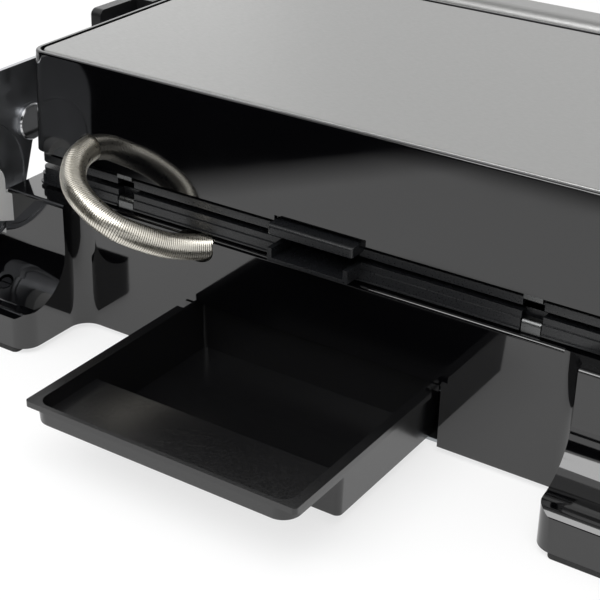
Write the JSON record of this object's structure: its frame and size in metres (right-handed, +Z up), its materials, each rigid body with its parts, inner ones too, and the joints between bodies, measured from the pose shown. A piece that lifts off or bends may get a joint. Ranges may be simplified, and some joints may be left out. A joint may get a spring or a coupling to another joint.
{
  "type": "contact grill with drip tray",
  "caption": "Countertop contact grill: ribbed plates, lid on two curved cast arms with a full-width handle, armoured conduit, and a drip tray that slides out at the rear.",
  "frame": {"origin": "on the table, at the centre of the whole grill's outline seen from above, tray pulled out and lid closed", "axes": "+Z up, -Y towards the person at the handle and the front panel, +Y the rear with the tray, +X that person's right"},
  "size_m": [0.42, 0.3936, 0.1522],
  "materials": {
    "housing": "glossy black",
    "handle_black": "satin black",
    "plate": "dark non-stick coating",
    "steel": "satin",
    "arm_metal": "polished casting",
    "bright_steel": "bright",
    "conduit": "ribbed armoured tube",
    "tray": "satin black coating",
    "rubber": "matte",
    "panel": "glossy",
    "button": "satin dark grey",
    "lens": "translucent red",
    "ceramic": "matte ceramic-like",
    "zinc": "zinc plated",
    "bronze": "machined"
  },
  "bodies": {
    "base": {"lower_housing": "housing", "bottom_cover": "zinc", "rubber_feet": "rubber", "tray_bay": "zinc", "lower_plate": "plate", "lower_plate_clips": "bright_steel", "lower_heating_element": "zinc", "lower_reflector": "steel", "terminal_block": "ceramic", "hinge_brackets": "arm_metal", "hinge_pins": "bright_steel", "control_panel": "panel", "thermostats": "zinc", "indicator_lenses": "lens", "lower_button_spring": "bright_steel", "conduit": "conduit", "base_conduit_saddle": "bright_steel", "cord_gland": "rubber", "tower_screws": "bright_steel"},
    "tray": {"drip_tray": "tray"},
    "arms": {"left_arm": "arm_metal", "right_arm": "arm_metal", "hinge_bushes": "bronze", "hinge_covers": "arm_metal", "left_handle_rail": "handle_black", "right_handle_rail": "handle_black", "handle_bar": "handle_black", "handle_trim": "steel", "handle_screws": "bright_steel", "lid_pivot_pins": "bright_steel"},
    "lid": {"upper_housing": "housing", "lid_top_plate": "steel", "lid_pivot_lugs": "housing", "upper_plate": "plate", "upper_plate_clips": "bright_steel", "upper_heating_element": "zinc", "upper_reflector": "steel", "upper_button_spring": "bright_steel", "lid_conduit_saddle": "bright_steel"},
    "lower_thermostat_knob": {"lower_knob": "handle_black", "lower_knob_shaft": "bright_steel"},
    "upper_thermostat_knob": {"upper_knob": "handle_black", "upper_knob_shaft": "bright_steel"},
    "lower_button": {"lower_release_button": "button"},
    "upper_button": {"upper_release_button": "button"}
  },
  "joints": [
    {"name": "arm_lift", "type": "hinge", "parent": "base", "child": "arms", "pos_m": [0, 0.10125, 0.083], "axis": [-1, 0, 0], "range_deg": [0, 105], "deforming": ["conduit"]},
    {"name": "lid_tilt", "type": "hinge", "parent": "arms", "child": "lid", "pos_m": [0, -0.02975, 0.119], "axis": [-1, 0, 0], "range_deg": [-8, 0]},
    {"name": "tray_slide", "type": "slide", "parent": "base", "child": "tray", "axis": [0, 1, 0], "range_m": [-0.08, 0]},
    {"name": "lower_knob_turn", "type": "hinge", "parent": "base", "child": "lower_thermostat_knob", "pos_m": [0.108, -0.14625, 0.049], "axis": [0, 0.9722, -0.2341], "range_deg": [0, 270]},
    {"name": "upper_knob_turn", "type": "hinge", "parent": "base", "child": "upper_thermostat_knob", "pos_m": [-0.108, -0.14625, 0.049], "axis": [0, 0.9722, -0.2341], "range_deg": [0, 270]},
    {"name": "lower_button_press", "type": "slide", "parent": "base", "child": "lower_button", "axis": [0, 0.9722, -0.2341], "range_m": [0, 0.003], "stiffness_N_per_m": 400, "deforming": ["lower_button_spring"]},
    {"name": "upper_button_press", "type": "slide", "parent": "lid", "child": "upper_button", "axis": [0, 1, 0], "range_m": [0, 0.003], "stiffness_N_per_m": 400, "deforming": ["upper_button_spring"]}
  ],
  "couplings": [
    {"joint": "lid_tilt", "follows": "arm_lift", "ratio": -0.0761}
  ]
}
